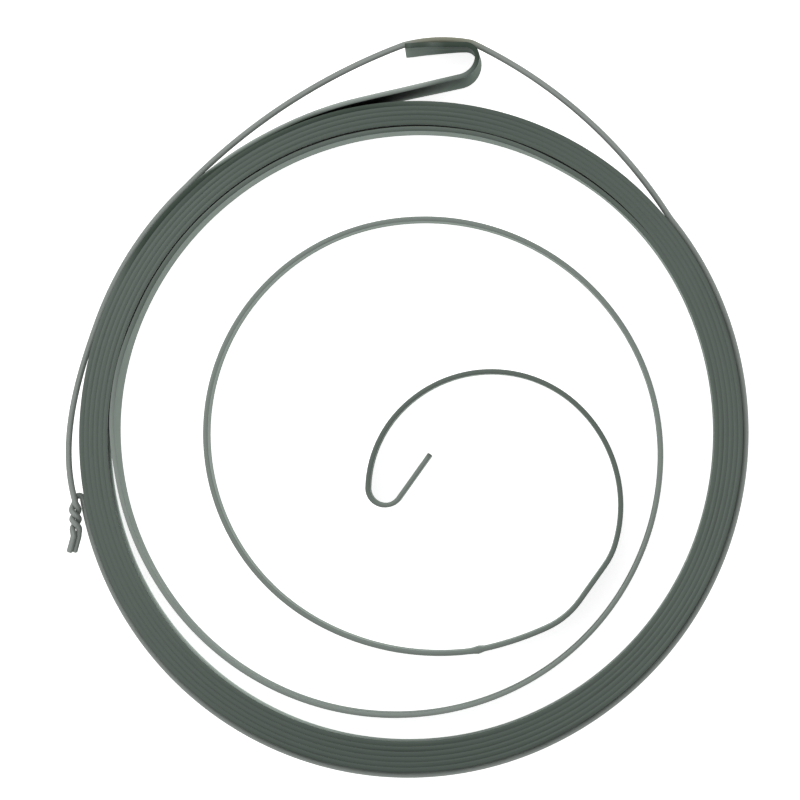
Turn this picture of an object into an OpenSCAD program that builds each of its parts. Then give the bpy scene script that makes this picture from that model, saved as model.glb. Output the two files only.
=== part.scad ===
// Recoil starter spring: a flat steel strip wound on edge into a ring, with a hook at each end,
// held wound by a loop of soft wire twisted shut beside it. It lies flat with the coil's axis upright.

/* [Strip] */
// Thickness of the spring steel strip
strip_t = 0.56; // [0.4:0.02:0.8]
// Width of the strip, which is the height of the spring as it lies
strip_w = 9.5; // [6:0.5:14]
// Chamfer along the strip's four dressed edges
edge_chamfer = 0.08; // [0.02:0.02:0.16]

/* [Ring] */
// Outside diameter of the wound ring, where its outer end leaves it
ring_od = 86.1; // [76:0.1:100]
// Clearance between one wound turn and the next
turn_gap = 0.05; // [0.04:0.01:0.12]
// Angle wound up in the ring, almost six turns
ring_sweep = 2068; // [1350:1:2300]
// By how much the radius of the ring's two flat arcs is more than that of its two tight ones
ring_oval = 2; // [0.2:0.1:4]
// Angle of each of the flat arcs
flat_span = 90; // [70:1:110]
// Direction of the slightly oval ring's long axis
oval_axis = 69; // [50:1:75]
// Direction in which the outer end leaves the ring
lead_angle = 122; // [115:1:130]

/* [Outer hook] */
// Radius at which the outer end opens away from the ring
lead_r = 46; // [42:1:60]
// Angle of that opening curve
lead_sweep = 19.5; // [15:0.5:24]
// Length of the hook's straight lower leg
outer_leg = 14; // [10:0.5:17]
// Radius of the hook's lower corner, at the middle of the strip
outer_heel_r = 2.8; // [2:0.1:3.4]
// Angle of the lower corner
outer_heel_sweep = 79; // [70:1:84]
// Radius of the hook's upper corner, at the middle of the strip
outer_toe_r = 1.5; // [1:0.1:2]
// Angle of the upper corner
outer_toe_sweep = 91; // [86:1:96]
// Length of the hook's end, from the upper corner to the tip
outer_tip = 7.8; // [5:0.2:9]

/* [Free turns] */
// By how much the radius of each free stretch is less than the innermost wound turn's
free_drops = [2, 0, 2, 3.5, 5.7, 8.8, 11.6];
// Angle of each of those stretches, from the ring inwards
free_sweeps = [40, 92, 54.5, 71.5, 69.5, 104.5, 138];
// Radius of the flattened stretch before the set bend
flat_r = 32.5; // [28:0.5:40]
// Angle of that stretch
flat_sweep = 35.5; // [30:0.5:40]
// Radius of the set bend
set_bend_r = 18; // [8:0.5:24]
// Angle of the set bend
set_bend_sweep = 6; // [4:0.5:9]
// Radius of the flattened stretch after the set bend
rise_r = 41; // [35:0.5:50]
// Angle of that stretch
rise_sweep = 13; // [10:0.5:16]
// Radius of the first knee
first_knee_r = 10.5; // [8:0.5:13]
// Angle of the first knee
first_knee_sweep = 30; // [24:0.5:34]
// Length of the straight run between the knees
knee_run = 5.6; // [4:0.1:7]
// Radius of the second knee
second_knee_r = 9; // [7:0.5:11]
// Angle of the second knee
second_knee_sweep = 19; // [15:0.5:23]

/* [Inner curl] */
// Radius of the inner curl where it begins
curl_r = 17.6; // [16.5:0.1:19]
// By how much the curl's radius shrinks at each of its two steps
curl_step = 1.4; // [0.5:0.1:2]
// Angles of the curl's three stretches
curl_sweeps = [62, 94, 39];

/* [Inner hook] */
// Radius of the inner hook, at the middle of the strip
inner_hook_r = 2.2; // [1.6:0.1:3]
// Angle of the inner hook
inner_hook_sweep = 146; // [120:0.5:160]
// Length of the inner hook's straight end
inner_tip = 6.1; // [4:0.1:8]

/* [Retaining wire] */
// Diameter of the soft wire
wire_d = 0.8; // [0.6:0.05:1.1]
// Clearance between the wire and the strip it is drawn round
wire_seat = 0.08; // [0.06:0.01:0.2]
// Radius to which the wire bows from the ring to the outer hook's toe
right_bow_r = 59; // [48:0.5:65]
// Radius to which the wire bows from the outer hook's tip back to the ring
left_bow_r = 68; // [56:0.5:75]
// Radius at which the wire bends back to lie along the ring
settle_r = 12; // [5:1:20]
// Direction in which the wire leaves the ring for the outer hook
leave_angle = 42; // [36:1:46]
// Direction in which the wire comes back to the ring from the outer hook
reach_angle = 129; // [126:1:136]
// Radius to which the wire bows across the outer hook
crown_r = 20; // [15:1:30]
// Direction in which the wire's lower run leaves the twisted end
twist_angle = 190; // [187:1:194]
// Direction in which the wire's upper run lets go of the ring
release_angle = 172; // [165:1:175]
// Space left inside the lower run's turn into the twisted end
turn_space = 0.2; // [0.1:0.05:0.6]
// Heading at which the wire's upper run comes back in to the twisted end
return_heading = 286; // [280:1:290]
// Direction of the twisted end
twist_heading = 274; // [270:1:278]
// Length over which the two ends are twisted
twist_length = 4.7; // [4:0.1:7]
// Number of twists
twist_turns = 1.375; // [0.875:0.125:1.5]
// Clearance between the two twisted ends
twist_gap = 0.06; // [0.04:0.01:0.2]
// Length of the cut tails past the twist
tail_length = 2.2; // [1:0.1:4]
// Angle by which the tails bend away from the ring
tail_bend = 17; // [0:1:20]

/* [Hidden] */
$fn = 180;

// Wound ring: four arcs to a turn, flat and tight by turns, that shorten evenly so the turns lie parallel
pitch = strip_t + turn_gap;
ring_r = ring_od / 2 - strip_t / 2;
tight_span = 180 - flat_span;
first_arc = oval_axis + 90 + flat_span / 2 - lead_angle;
half_turns = floor((ring_sweep - first_arc) / 180);
last_part = ring_sweep - first_arc - half_turns * 180;
ring_arcs = 1 + 2 * half_turns + (last_part > 0 ? 1 : 0) + (last_part > tight_span ? 1 : 0);
function is_flat(k) = k % 2 == 0;
function ring_radius(k) = ring_r - k * pitch / 4 + (is_flat(k) ? 1 : -1) * ring_oval / 2;
function swept_before(k) = first_arc + floor((k - 1) / 2) * 180 + (is_flat(k) ? tight_span : 0);
function ring_turn(k) = k == 0 ? first_arc
    : min(is_flat(k) ? flat_span : tight_span, ring_sweep - swept_before(k));
ring_steps = [for (k = [0 : ring_arcs - 1]) [ring_radius(k), ring_turn(k)]];
innermost_r = ring_r - ring_arcs * pitch / 4;

// Free stretches, curl and inner hook, from the ring inwards; a radius of 0 is a straight run
inward_steps = concat(
    ring_steps,
    [for (i = [0 : len(free_drops) - 1]) [innermost_r - free_drops[i], free_sweeps[i]]],
    [[flat_r, flat_sweep], [set_bend_r, set_bend_sweep], [rise_r, rise_sweep]],
    [[first_knee_r, first_knee_sweep], [0, knee_run], [second_knee_r, second_knee_sweep]],
    [for (i = [0 : len(curl_sweeps) - 1]) [curl_r - i * curl_step, curl_sweeps[i]]],
    [[inner_hook_r, inner_hook_sweep], [0, inner_tip]]
);

// Outer end, from the ring outwards
outward_steps = [
    [lead_r, -lead_sweep],
    [0, outer_leg],
    [outer_heel_r, outer_heel_sweep],
    [outer_toe_r, outer_toe_sweep],
    [0, outer_tip]
];

// A pose is a place on the strip's middle line and the direction of travel there
function ahead(a) = [cos(a), sin(a)];
function along(pose, distance) = [pose[0] + distance * ahead(pose[1]), pose[1]];
function centre(pose, step) = pose[0] + sign(step[1]) * step[0] * ahead(pose[1] + 90);
function turned(pose, step) = [
    centre(pose, step) + sign(step[1]) * step[0] * ahead(pose[1] + step[1] - 90),
    pose[1] + step[1]
];
function after(pose, step) = step[0] == 0 ? along(pose, step[1]) : turned(pose, step);
function poses(pose, steps, i = 0) = i == len(steps) ? [pose]
    : concat([pose], poses(after(pose, steps[i]), steps, i + 1));

// How far a stretch laps into the next, and how much smaller its section is there
lap_length = 0.06;
lap_inset = 0.004;

// The strip leaves the ring on a flat arc, whose centre lies across the oval's short axis
flat_centre = -ring_oval * cos(flat_span / 2) * ahead(oval_axis + 90);
ring_start = flat_centre + ring_radius(0) * ahead(lead_angle);
inward_poses = poses([ring_start, lead_angle + 90], inward_steps);
outward_poses = poses([ring_start, lead_angle - 90], outward_steps);

// Middle line of the retaining wire: arcs about shared normals, so that each runs into the next
wire_offset = strip_t / 2 + wire_seat + wire_d / 2;
toe = 3;
tip = len(outward_steps);
toe_centre = centre(outward_poses[toe], outward_steps[toe]);
toe_wire_r = outer_toe_r + wire_offset;
tip_point = outward_poses[tip][0];
function ring_centre(k) = centre(inward_poses[k], inward_steps[k]);
function ring_wire_r(k) = ring_radius(k) + wire_offset;
function bearing(p, q) = atan2(q.y - p.y, q.x - p.x);
// Centre of an arc of radius r that takes in two circles, the second to the left of the first;
// a circle whose radius is given as negative is touched from outside instead
function arc_over(r, c1, r1, c2, r2) =
    let (d = c2 - c1, span = norm(d), reach = r - r1)
    let (x = (span * span + reach * reach - (r - r2) * (r - r2)) / (2 * span))
    let (y = sqrt(reach * reach - x * x))
    c1 + x * d / span + y * [-d.y, d.x] / span;

right_settle = ring_centre(3) + (ring_wire_r(3) + settle_r) * ahead(leave_angle);
left_settle = ring_centre(0) + (ring_wire_r(0) + settle_r) * ahead(reach_angle);
right_bow = arc_over(right_bow_r, right_settle, -settle_r, toe_centre, toe_wire_r);
crown = arc_over(crown_r, toe_centre, toe_wire_r, tip_point, wire_offset);
left_bow = arc_over(left_bow_r, tip_point, wire_offset, left_settle, -settle_r);
second_arc = lead_angle + first_arc;
third_arc = second_arc + tight_span;
fourth_arc = second_arc + 180;
leave_settle = bearing(right_bow, right_settle);
reach_toe = bearing(right_bow, toe_centre);
leave_toe = bearing(crown, toe_centre);
reach_tip = bearing(crown, tip_point);
leave_tip = bearing(left_bow, tip_point);
reach_settle = bearing(left_bow, left_settle);
wire_arcs = [
    [ring_centre(0), ring_wire_r(0), twist_angle, second_arc],
    [ring_centre(1), ring_wire_r(1), second_arc, third_arc],
    [ring_centre(2), ring_wire_r(2), third_arc, fourth_arc],
    [ring_centre(3), ring_wire_r(3), fourth_arc - 360, leave_angle],
    [right_settle, settle_r, leave_angle + 180, leave_settle + 180],
    [right_bow, right_bow_r, leave_settle, reach_toe],
    [toe_centre, toe_wire_r, reach_toe, leave_toe],
    [crown, crown_r, leave_toe, reach_tip],
    [tip_point, wire_offset, reach_tip, leave_tip],
    [left_bow, left_bow_r, leave_tip, reach_settle],
    [left_settle, settle_r, reach_settle + 180, reach_angle + 180],
    [ring_centre(0), ring_wire_r(0), reach_angle, release_angle]
];

// Points along those arcs, close enough together that no chord dips into the strip
wire_sides = 8;
chord_sag = wire_seat / 4;
function chord_angle(r) = min(30, 2 * acos(1 - chord_sag / r));
function arc_count(arc) = max(1, ceil(abs(arc[3] - arc[2]) / chord_angle(arc[1])));
function arc_points(arc) = [for (i = [0 : arc_count(arc) - 1])
    arc[0] + arc[1] * ahead(arc[2] + (arc[3] - arc[2]) * i / arc_count(arc))];
loop_points = [for (arc = wire_arcs) each arc_points(arc)];

// Twisted end: the lower run turns up and back on itself into it, the upper run comes in to it
twist_r = wire_d / 2 + twist_gap / 2;
turn_back_r = (wire_d + turn_space) / 2;
twist_reach = twist_r + wire_d + twist_gap;
twist_rise = sqrt(max(0, twist_reach * twist_reach - 4 * turn_back_r * turn_back_r));
twist_z = strip_w / 2 + twist_rise / 2;
lower_z = strip_w / 2 - twist_rise / 2;
lower_start = ring_centre(0) + ring_wire_r(0) * ahead(twist_angle);
turn_centre = lower_start + turn_back_r * ahead(twist_angle);
turn_from = twist_heading - 90;
turn_points = [for (i = [0 : 5])
    turn_centre + turn_back_r * ahead(turn_from + (twist_angle - 180 - turn_from) * i / 6)];
twist_root = turn_centre + turn_back_r * ahead(turn_from);
upper_end = ring_centre(0) + ring_wire_r(0) * ahead(release_angle);
bulge_share = 0.4;
bulge_reach = bulge_share * norm(upper_end - twist_root);
function bezier(p, t) = pow(1 - t, 3) * p[0] + 3 * t * pow(1 - t, 2) * p[1]
    + 3 * t * t * (1 - t) * p[2] + t * t * t * p[3];
bulge = [
    upper_end,
    upper_end + bulge_reach * ahead(release_angle + 90),
    twist_root - bulge_reach * ahead(return_heading),
    twist_root
];
bulge_points = [for (i = [0 : 9]) bezier(bulge, i / 10)];

// Rest of the route: down through the turn to the lower run, then evenly up to the upper strand
function sloped(points, from, to) = [for (i = [0 : len(points) - 1])
    [points[i].x, points[i].y, from + (to - from) * i / len(points)]];
route_middle = concat(
    sloped(turn_points, twist_z - twist_r, lower_z),
    sloped(concat(loop_points, bulge_points), lower_z, twist_z + twist_r)
);

// One strand of the twist: it eases into the twist and out of it, then bends off as a straight tail
twist_rings = 28;
function eased(s) = s * s * (3 - 2 * s);
function strand_point(u, phase) =
    let (turn = phase + 360 * twist_turns * eased(min(1, u / twist_length)))
    let (twisted = min(u, twist_length) * ahead(twist_heading))
    let (bent = max(0, u - twist_length) * ahead(twist_heading - tail_bend))
    let (flat = twist_root + twisted + bent + twist_r * cos(turn) * ahead(twist_heading - 90))
    [flat.x, flat.y, twist_z + twist_r * sin(turn)];
function strand(phase) = [for (i = [0 : twist_rings])
    strand_point(i * (twist_length + tail_length) / twist_rings, phase)];
function reversed(list) = [for (i = [len(list) - 1 : -1 : 0]) list[i]];
wire_route = concat(reversed(strand(-90)), route_middle, strand(90));

// Cross-section of the strip, standing on edge, drawn in by a hair where it laps into its neighbours
module strip_section(inset) {
    half = strip_t / 2 - inset;
    top = strip_w - inset;
    c = edge_chamfer;
    polygon([
        [-half + c, inset], [half - c, inset], [half, inset + c], [half, top - c],
        [half - c, top], [-half + c, top], [-half, top - c], [-half, inset + c]
    ]);
}

// One stretch of the strip, straight or curved, from a pose
module strip_stretch(pose, step, inset, lap) {
    translate(pose[0]) rotate(pose[1])
        if (step[0] == 0)
            rotate([90, 0, 90]) translate([0, 0, -lap])
                linear_extrude(step[1] + 2 * lap) strip_section(inset);
        else {
            lap_angle = lap / step[0] * 180 / PI;
            translate([0, sign(step[1]) * step[0]])
                rotate((step[1] > 0 ? -90 : 90 + step[1]) - lap_angle)
                    rotate_extrude(angle = abs(step[1]) + 2 * lap_angle)
                        translate([step[0], 0]) strip_section(inset);
        }
}

// Every other stretch laps into the two beside it, so that the whole strip is one piece
module strip_stretches(from, steps, lapped) {
    for (i = [0 : len(steps) - 1])
        let (laps = i % 2 == lapped ? 1 : 0)
            strip_stretch(from[i], steps[i], laps * lap_inset, laps * lap_length);
}

module spring_strip() {
    color("#5d6660") {
        strip_stretches(inward_poses, inward_steps, 1);
        strip_stretches(outward_poses, outward_steps, 0);
    }
}

// A round wire swept along points whose direction never comes near upright
function unit(v) = v / norm(v);
function direction(route, i) = unit(route[min(i + 1, len(route) - 1)] - route[max(i - 1, 0)]);
function wire_ring(route, i) =
    let (t = direction(route, i), side = unit(cross([0, 0, 1], t)), up = cross(t, side))
    [for (k = [0 : wire_sides - 1])
        let (a = 360 * (k + 0.5) / wire_sides)
        route[i] + wire_d / 2 * (cos(a) * side + sin(a) * up)];

module swept_wire(route) {
    last = len(route) - 1;
    points = [for (i = [0 : last]) each wire_ring(route, i)];
    sides = [for (i = [0 : last - 1], k = [0 : wire_sides - 1])
        let (a = i * wire_sides + k, b = i * wire_sides + (k + 1) % wire_sides)
        each [[a, b + wire_sides, b], [a, a + wire_sides, b + wire_sides]]];
    start_cap = [[for (k = [0 : wire_sides - 1]) k]];
    end_cap = [[for (k = [wire_sides - 1 : -1 : 0]) last * wire_sides + k]];
    polyhedron(points, concat(sides, start_cap, end_cap));
}

module retaining_wire() {
    color("#8d968e") swept_wire(wire_route);
}

spring_strip();
retaining_wire();
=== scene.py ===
"""Looks of the recoil starter spring: the wound strip and its retaining wire, lying on a white floor."""

import math
from dataclasses import dataclass

import bpy
from mathutils import Matrix, Vector


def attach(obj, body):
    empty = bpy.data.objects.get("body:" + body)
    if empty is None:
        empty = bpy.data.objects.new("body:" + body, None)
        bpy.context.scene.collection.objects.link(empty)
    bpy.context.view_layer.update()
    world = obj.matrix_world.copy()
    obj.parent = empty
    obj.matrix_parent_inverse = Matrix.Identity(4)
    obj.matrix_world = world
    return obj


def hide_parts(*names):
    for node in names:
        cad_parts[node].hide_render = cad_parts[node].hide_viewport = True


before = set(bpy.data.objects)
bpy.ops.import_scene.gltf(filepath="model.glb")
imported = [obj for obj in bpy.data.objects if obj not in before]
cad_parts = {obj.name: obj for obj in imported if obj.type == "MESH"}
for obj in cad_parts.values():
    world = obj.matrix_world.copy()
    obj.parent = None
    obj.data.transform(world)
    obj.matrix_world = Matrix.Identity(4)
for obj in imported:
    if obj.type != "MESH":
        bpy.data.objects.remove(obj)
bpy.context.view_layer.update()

MM = 0.001

# Strip and ring, in millimetres and degrees, as in the part's source
STRIP_T = 0.56
STRIP_W = 9.5
RING_OD = 86.1
TURN_GAP = 0.05
RING_SWEEP = 2068
RING_OVAL = 2
FLAT_SPAN = 90
OVAL_AXIS = 69
LEAD_ANGLE = 122
PITCH = STRIP_T + TURN_GAP
RING_R = RING_OD / 2 - STRIP_T / 2

# Outer end from the ring outwards, as (radius, sweep) of arcs and (0, length) of straight runs
LEAD = (46, -19.5)
OUTER_LEG = (0, 14)
OUTER_HEEL = (2.8, 79)
OUTER_TOE = (1.5, 91)
OUTER_TIP = (0, 7.8)
OUTWARD = [LEAD, OUTER_LEG, OUTER_HEEL, OUTER_TOE, OUTER_TIP]

# Free turns, curl and inner hook from the ring inwards, the hook's end a little longer than the solid's
FREE_DROPS = [2, 0, 2, 3.5, 5.7, 8.8, 11.6]
FREE_SWEEPS = [40, 92, 54.5, 71.5, 69.5, 104.5, 138]
SET_BEND = [(32.5, 35.5), (18, 6), (41, 13)]
KNEES = [(10.5, 30), (0, 5.6), (9, 19)]
CURL = [(17.6, 62), (16.2, 94), (14.8, 39)]
INNER_HOOK = [(2.2, 146), (0, 6.9)]

# Retaining wire, whose bows, bulge and twist follow the photograph a little closer than the solid's
WIRE_D = 0.8
WIRE_SEAT = 0.08
WIRE_OFFSET = STRIP_T / 2 + WIRE_SEAT + WIRE_D / 2
RIGHT_BOW_R = 61
LEFT_BOW_R = 76.5
SETTLE_R = 12
LEAVE_ANGLE = 38.5
REACH_ANGLE = 133.5
CROWN_R = 20
TWIST_ANGLE = 190
RELEASE_ANGLE = 160
BULGE_SHARE = 0.34
TURN_SPACE = 0.2
RETURN_HEADING = 285
TWIST_HEADING = 272
TWIST_LENGTH = 4.7
TWIST_TURNS = 1.375
TWIST_GAP = 0.06
TWIST_R = WIRE_D / 2 + TWIST_GAP / 2
TAIL_LENGTH = 2.2
TAIL_BEND = 17

# How finely the strip and the wire are drawn
STRIP_SPACING = 0.9
WIRE_SPACING = 0.5
TWIST_SPACING = WIRE_SPACING / 4
TURN_STEP = 5
WIRE_SIDES = 16
CORNER_POINTS = 4
SHARP_ANGLE = 50

# Rounding of the strip's edges, slight so that touching turns hardly show a line, and of the ends
EDGE_R = 0.006
END_BEVEL = 0.06
END_ROUND = 0.3

# Uneven upper edges: how deep they dip, their mean dip, and waves in it as (share, length, phase)
EDGE_DIP = 0.05
MEAN_DIP = 0.5
DIP_WAVES = [(0.3, 61, 0), (0.2, 23, 1)]

# How far each wound turn spreads at the bottom of the ring, and how much of that still shows as steel
SLACK = 0.06
SLACK_ANGLE = 270
SLACK_REACH = 70
SLACK_FILLED = 0.85

# Lean inwards for each unit of height, by distance from the ring's start, or past its end for FREE ones
OUTER_LEAN = [(-43.7, 0.075), (-36, 0.02), (-30, -0.085), (-20, -0.07), (-2, 0)]
FREE_LEAN = [
    (5, 0), (13, 0.01), (20, 0), (30, -0.017), (84, -0.017),
    (94, -0.043), (98, -0.043), (107, -0.013), (130, 0),
]

# Shift inwards, by the same distances
OUTER_SHIFT = [(-43.7, 0), (-41, 0.12), (-37, 0.12), (-34, 0)]
FREE_SHIFT = [
    (5, 0), (13, 0.02), (20, 0.02), (33, -0.18), (84, -0.18),
    (94, -0.275), (98, -0.275), (107, -0.08), (125, 0),
]

# By how much the strip is thicker at a small mark on its set bend
SET_MARK = [(351.6, 0), (352.5, 0.3), (353.4, 0)]

# Tone of the narrow edges, from 0, lightest, over 0.5, as the faces, to 1, dark
# On the outer turns just past where the outer end leaves the ring, beside the wire, the darker stretches
# are painted shade; on the hook the edges are darker under the wire's crown
OUTER_TONES = [
    (-43.5, 0.92), (-42.3, 0.98), (-41, 0.97), (-39.9, 0.9), (-38.8, 1), (-34, 1),
    (-30, 0.81), (-24, 0.47), (2, 0.455), (8, 1), (16, 1), (26, 0.875),
    (240, 0.875), (252, 0.95), (268, 0.95), (290, 0.875),
]
FREE_TONES = [
    (0, 0), (80, 0), (108, -0.25), (150, -0.22), (257, -0.17),
    (300, -0.18), (340, -0.15), (385, -0.02), (430, -0.02), (437, -0.15),
]

# Painted shade: by how much the inner side of the outer leg's edges is darker than the outer side
OUTER_EDGE_SHADE = [(-30, 0), (-26, 0.3), (-14, 0.3), (-9, 0.55), (4, 0.55), (8, 0)]

# Tone of the faces: painted shade, dark on the hook, and painted reflection of the bright floor, lighter
# where the wound and free turns lay together
OUTER_FACE_TONES = [
    (-43, 0.66), (-41, 0.72), (-39.8, 0.8), (-38.8, 1), (-36, 1),
    (-34, 0.86), (-30, 0.77), (-26, 0.65), (0, 0.5),
]
INNERMOST_FACE_LIGHT = [(-270, 0), (-230, -0.5), (-110, -0.5), (-80, 0)]
FREE_BACK_LIGHT = [(60, 0), (90, -0.5), (170, -0.5), (220, 0)]

# Painted shade that darkens the ring's edges at its bottom and its top, where no lamp stands beside them,
# as its direction, its reach round the ring and the tone it adds
RING_EDGE_SHADE = [(270, 70, 0.055), (90, 65, 0.045)]

# Oil stain on the wire where it lies over the outer hook, by the place across the spring
STAIN = [(-2, 0), (2, 1), (6, 1), (10, 0)]
STAIN_FROM_Y = 45

# Colours of the steel by tone, and what its two materials share
STRIP_COLOURS = [(0, (0.7, 0.75, 0.72)), (0.5, (0.2, 0.224, 0.208)), (1, (0.031, 0.042, 0.034))]
WIRE_COLOURS = [(0, (0.25, 0.272, 0.257)), (1, (0.23, 0.235, 0.18))]
SLANT_TINT = (0.5, 0.56, 0.52, 1)
UNEVENNESS = 0.15
NOISE_RANGE = (0.3, 0.7)
STREAK_DETAIL = 4
MOTTLE_DETAIL = 3
BUMP_STRENGTH = 0.4

# Floor and light
FLOOR_SIZE = 4.0
FLOOR_WHITE = 0.9
FLOOR_ROUGHNESS = 0.9
FLOOR_GLOW = 0.78
SKY_LIGHT = 0.8
LAMP_WATTS = 6.5
LAMP_SIZE = 1.0
LAMP_AT = Vector((-0.35, 0.45, 1.3))

# Photograph's view, in millimetres at the height of the spring's upper edges
PHOTO_SIZE = 800
MM_PER_PIXEL = 0.128167
AIM = Vector((-1.57, 4.44, STRIP_W))
CAMERA_AT = Vector((16.12, -5.81, 1030))


@dataclass
class Place:
    """A place on the strip: its point, the direction of travel and the distance from the ring's start."""

    point: Vector
    heading: float
    travel: float


def ahead(angle):
    """Unit vector in the plane at an angle in degrees."""
    return Vector((math.cos(math.radians(angle)), math.sin(math.radians(angle))))


def bearing(start, end):
    """Angle in degrees at which one point lies from another."""
    return math.degrees(math.atan2(end.y - start.y, end.x - start.x))


def eased(part):
    """Smooth step from 0 to 1, level outside that range."""
    part = min(1, max(0, part))
    return part * part * (3 - 2 * part)


def between(stops, place):
    """Value that passes smoothly from one (place, value) stop to the next, level outside them."""
    value = stops[0][1]
    for (start, low), (end, high) in zip(stops, stops[1:]):
        value += (high - low) * eased((place - start) / (end - start))
    return value


def distances(points):
    """Distance along a line of points, from the first."""
    total = [0.0]
    for a, b in zip(points, points[1:]):
        total.append(total[-1] + (b - a).length)
    return total


def moved(place, distance):
    """The place a short distance straight on from another."""
    return Place(place.point + distance * ahead(place.heading), place.heading, place.travel + distance)


def arc_centre(place, step):
    """Centre of an arc that starts at a place."""
    radius, sweep = step
    return place.point + math.copysign(radius, sweep) * ahead(place.heading + 90)


def walk(start, steps):
    """Places along the strip, one list for each step, which ends with the place where the next begins."""
    runs = []
    for radius, sweep in steps:
        turn = sweep if radius else 0
        length = radius * math.radians(abs(sweep)) if radius else sweep
        count = math.ceil(max(length / STRIP_SPACING, abs(turn) / TURN_STEP))
        run = [start]
        for i in range(1, count + 1):
            heading = start.heading + turn * i / count
            if radius:
                centre = arc_centre(start, (radius, sweep))
                point = centre + math.copysign(radius, sweep) * ahead(heading - 90)
            else:
                point = start.point + length * i / count * ahead(heading)
            run.append(Place(point, heading, start.travel + length * i / count))
        runs.append(run)
        start = run[-1]
    return runs


def ring_steps():
    """The wound ring's arcs, flat and tight by turns, which shorten evenly so the turns lie parallel."""
    steps = []
    span = OVAL_AXIS + 90 + FLAT_SPAN / 2 - LEAD_ANGLE
    left = RING_SWEEP
    while left > 0:
        flat = len(steps) % 2 == 0
        radius = RING_R - len(steps) * PITCH / 4 + (RING_OVAL if flat else -RING_OVAL) / 2
        steps.append((radius, min(span, left)))
        left -= span
        span = 180 - FLAT_SPAN if flat else FLAT_SPAN
    return steps


# Middle line of the strip, both ways from where its outer end leaves the ring
RING = ring_steps()
INNERMOST_R = RING_R - len(RING) * PITCH / 4
FREE = [(INNERMOST_R - drop, sweep) for drop, sweep in zip(FREE_DROPS, FREE_SWEEPS)]
INWARD = RING + FREE + SET_BEND + KNEES + CURL + INNER_HOOK
flat_centre = -RING_OVAL * math.cos(math.radians(FLAT_SPAN / 2)) * ahead(OVAL_AXIS + 90)
ring_start = flat_centre + RING[0][0] * ahead(LEAD_ANGLE)
inward = walk(Place(ring_start, LEAD_ANGLE + 90, 0), INWARD)
outward = walk(Place(ring_start, LEAD_ANGLE - 90, 0), OUTWARD)
wound_length = inward[len(RING)][0].travel


def strip_line():
    """Places along the whole strip from its outer tip to its inner one, with a short step at each end."""
    out = [place for run in outward for place in run[1:]]
    line = [Place(place.point, place.heading + 180, -place.travel) for place in reversed(out)]
    line.append(inward[0][0])
    line += [place for run in inward for place in run[1:]]
    return [line[0], moved(line[0], END_BEVEL), *line[1:-1], moved(line[-1], -END_BEVEL), line[-1]]


def strip_section(inset, thickness):
    """Section of the strip as (aside, height, is_edge), with a point by each corner to keep faces flat."""
    half, top = thickness / 2 - inset, STRIP_W - inset
    corners = [(half, top, 0), (-half, top, 90), (-half, inset, 180), (half, inset, 270)]
    section = []
    for aside, height, start in corners:
        outwards = math.copysign(EDGE_R, aside)
        upwards = math.copysign(EDGE_R, height - STRIP_W / 2)
        centre = Vector((aside - outwards, height - upwards))
        angles = [start + 90 * i / (CORNER_POINTS - 1) for i in range(CORNER_POINTS)]
        rim = [centre + EDGE_R * ahead(angle) for angle in angles]
        points = [(point.x, point.y, True) for point in rim]
        face_first = start in (0, 180)
        on_face = rim[0] if face_first else rim[-1]
        guard = (on_face.x, on_face.y - 2 * upwards, False)
        section += [guard, *points] if face_first else [*points, guard]
    return section


def nearness(heading, angle, reach):
    """How near a heading round the ring is to an angle, from 1 there down to 0 at a reach from it."""
    off = abs((heading - 90 - angle + 180) % 360 - 180)
    return eased(1 - off / reach)


def slack(place):
    """How much further apart than elsewhere the wound turns lie at a place."""
    wound = 0 < place.heading - LEAD_ANGLE - 90 < RING_SWEEP
    return SLACK * nearness(place.heading, SLACK_ANGLE, SLACK_REACH) if wound else 0


def ring_edge_shade(place):
    """How much painted shade adds to the tone of the ring's edges, at its bottom and its top."""
    return sum(tone * nearness(place.heading, angle, reach) for angle, reach, tone in RING_EDGE_SHADE)


def edge_dip(travel):
    """How far the strip's upper edge lies below its full width, since no two turns stand quite level."""
    waves = sum(share * math.sin(travel / length + phase) for share, length, phase in DIP_WAVES)
    return EDGE_DIP * (MEAN_DIP + waves)


def strip_tones(place, past):
    """Tones of the strip at a place, by (is_inner, is_edge)."""
    edge = between(OUTER_TONES, place.travel) + between(FREE_TONES, past)
    # Painted shade on the ring's edges at its bottom and its top
    if place.travel > 0 > past:
        edge += ring_edge_shade(place)
    # Faces: painted shade on the hook and painted reflection where the wound and free turns lay together
    face = between(OUTER_FACE_TONES, place.travel) + between(INNERMOST_FACE_LIGHT, past)
    return {
        # Inner edges along the outer leg carry painted shade
        (True, True): edge + between(OUTER_EDGE_SHADE, place.travel),
        (True, False): face,
        (False, True): edge,
        (False, False): face + between(FREE_BACK_LIGHT, past),
    }


def swept_mesh(name, rings, travels, around, tones):
    """Closed mesh through rings of points in millimetres, with grain coordinates along and around it."""
    count = len(around)
    points = [point * MM for ring in rings for point in ring]
    faces = []
    grain = []
    for i in range(len(rings) - 1):
        for k in range(count):
            following = (k + 1) % count
            a, b = i * count + k, i * count + following
            faces.append((a, b, b + count, a + count))
            low = around[k]
            high = around[following] if following else around[-1] + (around[1] - around[0])
            here, there = travels[i], travels[i + 1]
            grain += [here, low, here, high, there, high, there, low]
    faces.append(tuple(reversed(range(count))))
    faces.append(tuple(range(len(points) - count, len(points))))
    for travel in (travels[0], travels[-1]):
        for offset in around:
            grain += [travel, offset]
    mesh = bpy.data.meshes.new(name)
    mesh.from_pydata(points, [], faces)
    layer = mesh.uv_layers.new(name="grain")
    layer.data.foreach_set("uv", [value * MM for value in grain])
    tone = mesh.attributes.new("tone", "FLOAT", "POINT")
    tone.data.foreach_set("value", tones)
    mesh.polygons.foreach_set("use_smooth", [True] * len(faces))
    mesh.set_sharp_from_angle(angle=math.radians(SHARP_ANGLE))
    mesh.validate()
    piece = bpy.data.objects.new(name, mesh)
    bpy.context.scene.collection.objects.link(piece)
    return piece


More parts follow.
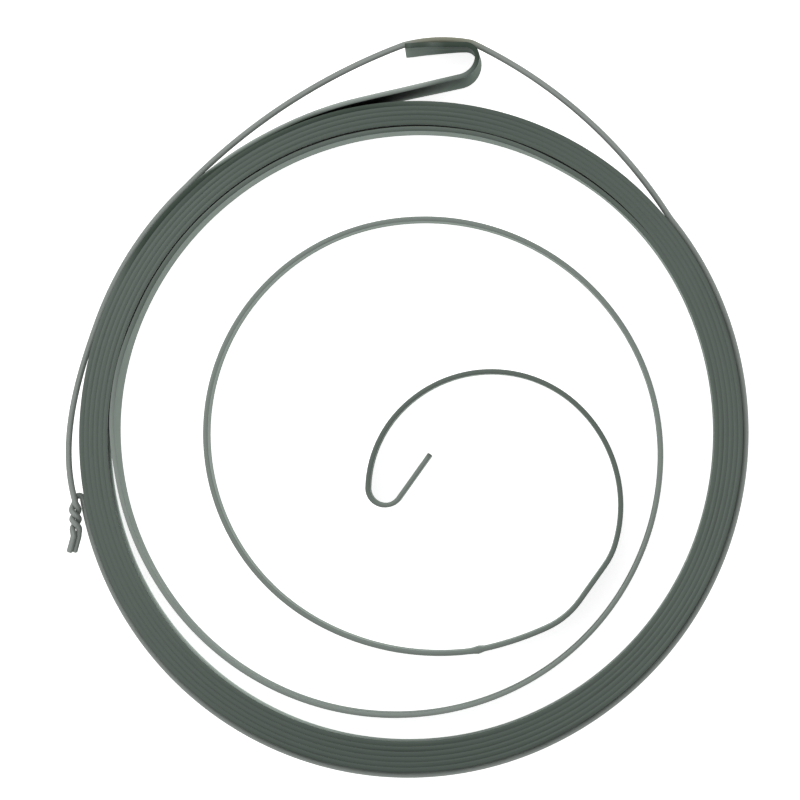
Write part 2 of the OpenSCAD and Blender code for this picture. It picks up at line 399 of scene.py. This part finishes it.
def make_strip():
    """The spring strip, drawn on edge along its middle line, with its wound turns pressed together."""
    line = strip_line()
    rings = []
    tones = []
    for i, place in enumerate(line):
        past = place.travel - wound_length
        inset = END_BEVEL if i in (0, len(line) - 1) else 0
        thickness = PITCH + SLACK_FILLED * slack(place) + between(SET_MARK, past)
        turns = (place.heading - LEAD_ANGLE - 90) / 360
        shift = slack(place) * turns + between(OUTER_SHIFT, place.travel) + between(FREE_SHIFT, past)
        lean = between(OUTER_LEAN, place.travel) + between(FREE_LEAN, past)
        dip = edge_dip(place.travel)
        aside = ahead(place.heading + 90)
        tone_here = strip_tones(place, past)
        ring = []
        for side, height, is_edge in strip_section(inset, thickness):
            level = height - dip * eased(height / STRIP_W)
            flat = place.point + (side + shift + lean * (level - STRIP_W / 2)) * aside
            ring.append(Vector((*flat, level)))
            tones.append(tone_here[side > 0, is_edge])
        rings.append(ring)
    around = distances([Vector(point[:2]) for point in strip_section(0, PITCH)])
    return swept_mesh("strip", rings, [place.travel for place in line], around, tones)


def arc_over(radius, first, first_r, second, second_r):
    """Centre of an arc that takes in two circles, or with a negative radius touches one from outside."""
    step = second - first
    span = step.length
    reach = radius - first_r
    x = (span * span + reach * reach - (radius - second_r) ** 2) / (2 * span)
    y = math.sqrt(reach * reach - x * x)
    return first + (x * step + y * Vector((-step.y, step.x))) / span


def arc_points(centre, radius, start, end):
    """Points along an arc, without its last one."""
    length = radius * math.radians(abs(end - start))
    count = math.ceil(max(1, length / WIRE_SPACING, abs(end - start) / TURN_STEP))
    return [centre + radius * ahead(start + (end - start) * i / count) for i in range(count)]


def bezier(points, part):
    """Point on a cubic curve."""
    a, b, c, d = points
    rest = 1 - part
    return rest**3 * a + 3 * part * rest**2 * b + 3 * part**2 * rest * c + part**3 * d


def wire_arcs():
    """Arcs of the wire's loop, as (centre, radius, start, end), each of which runs into the next."""
    ring = [(arc_centre(inward[k][0], RING[k]), RING[k][0] + WIRE_OFFSET) for k in range(4)]
    toe = arc_centre(outward[OUTWARD.index(OUTER_TOE)][0], OUTER_TOE)
    toe_r = OUTER_TOE[0] + WIRE_OFFSET
    tip = outward[-1][-1].point
    right = ring[3][0] + (ring[3][1] + SETTLE_R) * ahead(LEAVE_ANGLE)
    left = ring[0][0] + (ring[0][1] + SETTLE_R) * ahead(REACH_ANGLE)
    right_bow = arc_over(RIGHT_BOW_R, right, -SETTLE_R, toe, toe_r)
    crown = arc_over(CROWN_R, toe, toe_r, tip, WIRE_OFFSET)
    left_bow = arc_over(LEFT_BOW_R, tip, WIRE_OFFSET, left, -SETTLE_R)
    second = LEAD_ANGLE + RING[0][1]
    third = second + RING[1][1]
    fourth = second + 180
    leave_right, reach_toe = bearing(right_bow, right), bearing(right_bow, toe)
    leave_toe, reach_tip = bearing(crown, toe), bearing(crown, tip)
    leave_tip, reach_left = bearing(left_bow, tip), bearing(left_bow, left)
    return [
        (*ring[0], TWIST_ANGLE, second),
        (*ring[1], second, third),
        (*ring[2], third, fourth),
        (*ring[3], fourth - 360, LEAVE_ANGLE),
        (right, SETTLE_R, LEAVE_ANGLE + 180, leave_right + 180),
        (right_bow, RIGHT_BOW_R, leave_right, reach_toe),
        (toe, toe_r, reach_toe, leave_toe),
        (crown, CROWN_R, leave_toe, reach_tip),
        (tip, WIRE_OFFSET, reach_tip, leave_tip),
        (left_bow, LEFT_BOW_R, leave_tip, reach_left),
        (left, SETTLE_R, reach_left + 180, REACH_ANGLE + 180),
        (*ring[0], REACH_ANGLE, RELEASE_ANGLE),
    ]


def bulge_points(start, end):
    """Points along the wire's bulge from the ring to the twisted end, without the last one."""
    span = (start - end).length
    reach = BULGE_SHARE * span
    curve = [start, start + reach * ahead(RELEASE_ANGLE + 90), end - reach * ahead(RETURN_HEADING), end]
    count = math.ceil(span / WIRE_SPACING)
    return [bezier(curve, i / count) for i in range(count)]


def sloped(points, start, end):
    """Flat points lifted to heights that pass evenly from one to the other."""
    return [Vector((*point, start + (end - start) * i / len(points))) for i, point in enumerate(points)]


def strand(root, height, phase):
    """One strand of the wire's twisted end, which bends off as a straight tail."""
    length = TWIST_LENGTH + TAIL_LENGTH
    count = math.ceil(length / TWIST_SPACING)
    points = []
    for i in range(count + 1):
        run = length * i / count
        turn = phase + 360 * TWIST_TURNS * eased(run / TWIST_LENGTH)
        middle = root + min(run, TWIST_LENGTH) * ahead(TWIST_HEADING)
        middle += max(0, run - TWIST_LENGTH) * ahead(TWIST_HEADING - TAIL_BEND)
        off = TWIST_R * ahead(turn)
        points.append(Vector((*(middle + off.x * ahead(TWIST_HEADING - 90)), height + off.y)))
    return points


def wire_route():
    """Middle line of the retaining wire, from one cut end round the ring and the hook to the other."""
    arcs = wire_arcs()
    ring_centre, ring_r = arcs[0][:2]
    turn_r = (WIRE_D + TURN_SPACE) / 2
    rise = math.sqrt(max(0, (TWIST_R + WIRE_D + TWIST_GAP) ** 2 - 4 * turn_r**2))
    twist_z, lower_z = (STRIP_W + rise) / 2, (STRIP_W - rise) / 2
    turn_centre = ring_centre + (ring_r + turn_r) * ahead(TWIST_ANGLE)
    root = turn_centre + turn_r * ahead(TWIST_HEADING - 90)
    turn = arc_points(turn_centre, turn_r, TWIST_HEADING - 90, TWIST_ANGLE - 180)
    loop = [point for arc in arcs for point in arc_points(*arc)]
    loop += bulge_points(ring_centre + ring_r * ahead(RELEASE_ANGLE), root)
    middle = sloped(turn, twist_z - TWIST_R, lower_z) + sloped(loop, lower_z, twist_z + TWIST_R)
    return strand(root, twist_z, -90)[::-1] + middle + strand(root, twist_z, 90)


def make_wire():
    """The retaining wire, with its cut ends rounded off."""
    route = wire_route()
    travels = distances(route)
    spokes = [ahead(360 * (k + 0.5) / WIRE_SIDES) for k in range(WIRE_SIDES)]
    rings = []
    tones = []
    for i, point in enumerate(route):
        along = (route[min(i + 1, len(route) - 1)] - route[max(i - 1, 0)]).normalized()
        side = Vector((0, 0, 1)).cross(along).normalized()
        up = along.cross(side)
        from_end = min(travels[i], travels[-1] - travels[i])
        blunt = 1 - min(1, (from_end + END_BEVEL) / END_ROUND)
        radius = WIRE_D / 2 * math.sqrt(1 - blunt * blunt)
        rings.append([point + radius * (spoke.x * side + spoke.y * up) for spoke in spokes])
        stain = between(STAIN, point.x) if point.y > STAIN_FROM_Y else 0
        tones += [stain] * WIRE_SIDES
    around = [math.pi * WIRE_D * k / WIRE_SIDES for k in range(WIRE_SIDES)]
    return swept_mesh("wire", rings, travels, around, tones)


def metal(name, colours, metallic, streak, mottle, roughness, bump_depth):
    """Bare steel, coloured by the mesh's tone attribute, with streaks along its grain and mottling."""
    material = bpy.data.materials.new(name)
    material.use_nodes = True
    nodes, links = material.node_tree.nodes, material.node_tree.links
    shader = nodes["Principled BSDF"]
    shader.inputs["Metallic"].default_value = metallic
    shader.inputs["Specular Tint"].default_value = SLANT_TINT
    grain = nodes.new("ShaderNodeUVMap")
    grain.uv_map = "grain"

    def noise(scale, detail):
        mapping = nodes.new("ShaderNodeMapping")
        mapping.inputs["Scale"].default_value = (*scale, 1)
        links.new(grain.outputs["UV"], mapping.inputs["Vector"])
        texture = nodes.new("ShaderNodeTexNoise")
        texture.noise_dimensions = "2D"
        texture.inputs["Scale"].default_value = 1.0
        texture.inputs["Detail"].default_value = detail
        links.new(mapping.outputs["Vector"], texture.inputs["Vector"])
        return texture.outputs["Fac"]

    def spread(value, low, high):
        ranged = nodes.new("ShaderNodeMapRange")
        ends = (*NOISE_RANGE, low, high)
        for socket, end in zip(("From Min", "From Max", "To Min", "To Max"), ends):
            ranged.inputs[socket].default_value = end
        links.new(value, ranged.inputs["Value"])
        return ranged.outputs["Result"]

    streaks = noise(streak, STREAK_DETAIL)
    blend = nodes.new("ShaderNodeMix")
    blend.inputs["Factor"].default_value = 0.5
    links.new(streaks, blend.inputs["A"])
    links.new(noise(mottle, MOTTLE_DETAIL), blend.inputs["B"])

    zone = nodes.new("ShaderNodeAttribute")
    zone.attribute_name = "tone"
    ramp = nodes.new("ShaderNodeValToRGB")
    stops = ramp.color_ramp.elements
    while len(stops) < len(colours):
        stops.new(0.5)
    for stop, (tone, colour) in zip(stops, colours):
        stop.position = tone
        stop.color = (*colour, 1)
    links.new(zone.outputs["Fac"], ramp.inputs["Fac"])
    uneven = nodes.new("ShaderNodeMix")
    uneven.data_type = "RGBA"
    uneven.blend_type = "MULTIPLY"
    uneven.inputs["Factor"].default_value = 1.0
    links.new(ramp.outputs["Color"], uneven.inputs["A"])
    links.new(spread(blend.outputs["Result"], 1 - UNEVENNESS, 1 + UNEVENNESS), uneven.inputs["B"])
    links.new(uneven.outputs["Result"], shader.inputs["Base Color"])

    links.new(spread(blend.outputs["Result"], *roughness), shader.inputs["Roughness"])
    bump = nodes.new("ShaderNodeBump")
    bump.inputs["Strength"].default_value = BUMP_STRENGTH
    bump.inputs["Distance"].default_value = bump_depth
    links.new(streaks, bump.inputs["Height"])
    links.new(bump.outputs["Normal"], shader.inputs["Normal"])
    return material


def combine(nodes, links, operation, first, second):
    """Output of a math node on two values, each an output or a plain number."""
    node = nodes.new("ShaderNodeMath")
    node.operation = operation
    for socket, value in zip(node.inputs, (first, second)):
        if isinstance(value, (int, float)):
            socket.default_value = value
        else:
            links.new(value, socket)
    return node.outputs["Value"]


def seen_ray(nodes, links):
    """Output that is 1 for rays from the camera and for those that metal or glass sends on."""
    rays = nodes.new("ShaderNodeLightPath").outputs
    sent_on = combine(nodes, links, "MAXIMUM", rays["Is Glossy Ray"], rays["Is Transmission Ray"])
    return combine(nodes, links, "MAXIMUM", rays["Is Camera Ray"], sent_on)


def make_floor():
    """White floor that shows as white but still takes the spring's soft shadow."""
    mesh = bpy.data.meshes.new("floor")
    half = FLOOR_SIZE / 2
    corners = [(-half, -half, 0), (half, -half, 0), (half, half, 0), (-half, half, 0)]
    mesh.from_pydata(corners, [], [(0, 1, 2, 3)])
    floor = bpy.data.objects.new("floor", mesh)
    bpy.context.scene.collection.objects.link(floor)
    material = bpy.data.materials.new("white_floor")
    material.use_nodes = True
    nodes, links = material.node_tree.nodes, material.node_tree.links
    shader = nodes["Principled BSDF"]
    shader.inputs["Base Color"].default_value = (FLOOR_WHITE, FLOOR_WHITE, FLOOR_WHITE, 1)
    shader.inputs["Roughness"].default_value = FLOOR_ROUGHNESS
    shader.inputs["Specular IOR Level"].default_value = 0.0
    shader.inputs["Emission Color"].default_value = (1, 1, 1, 1)
    glow = combine(nodes, links, "MULTIPLY", seen_ray(nodes, links), FLOOR_GLOW)
    links.new(glow, shader.inputs["Emission Strength"])
    mesh.materials.append(material)


def make_light():
    """Plain soft studio light: a bright surround and one wide lamp above."""
    world = bpy.data.worlds.new("surround")
    bpy.context.scene.world = world
    world.use_nodes = True
    nodes, links = world.node_tree.nodes, world.node_tree.links
    sky = nodes["Background"]
    sky.inputs["Color"].default_value = (1, 1, 1, 1)
    strength = combine(nodes, links, "MAXIMUM", seen_ray(nodes, links), SKY_LIGHT)
    links.new(strength, sky.inputs["Strength"])
    lamp = bpy.data.lights.new("lamp", "AREA")
    lamp.energy = LAMP_WATTS
    lamp.size = LAMP_SIZE
    lamp_object = bpy.data.objects.new("lamp", lamp)
    lamp_object.location = LAMP_AT
    lamp_object.rotation_euler = (-LAMP_AT).to_track_quat("-Z", "Y").to_euler()
    bpy.context.scene.collection.objects.link(lamp_object)


def make_camera():
    """Camera where the photograph was taken from, with the top of the picture towards +Y."""
    data = bpy.data.cameras.new("camera")
    camera = bpy.data.objects.new("camera", data)
    bpy.context.scene.collection.objects.link(camera)
    sight = (AIM - CAMERA_AT).normalized()
    right = sight.cross(Vector((0, 1, 0))).normalized()
    up = right.cross(sight)
    turn = Matrix((right, up, -sight)).transposed()
    camera.matrix_world = Matrix.Translation(CAMERA_AT * MM) @ turn.to_4x4()
    data.angle = 2 * math.atan(PHOTO_SIZE / 2 * MM_PER_PIXEL / (AIM - CAMERA_AT).length)
    bpy.context.scene.camera = camera


# Pieces
strip = make_strip()
strip.data.materials.append(
    metal(
        "spring_steel",
        STRIP_COLOURS,
        metallic=1.0,
        streak=(70, 4000),
        mottle=(45, 160),
        roughness=(0.35, 0.55),
        bump_depth=0.01 * MM,
    )
)
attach(strip, "root")
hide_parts("spring_strip")

wire = make_wire()
wire.data.materials.append(
    metal(
        "soft_wire",
        WIRE_COLOURS,
        metallic=0.4,
        streak=(120, 6000),
        mottle=(200, 400),
        roughness=(0.5, 0.8),
        bump_depth=0.006 * MM,
    )
)
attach(wire, "root")
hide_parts("retaining_wire")

# Stage
make_floor()
make_light()
make_camera()
bpy.context.scene.view_settings.view_transform = "Standard"
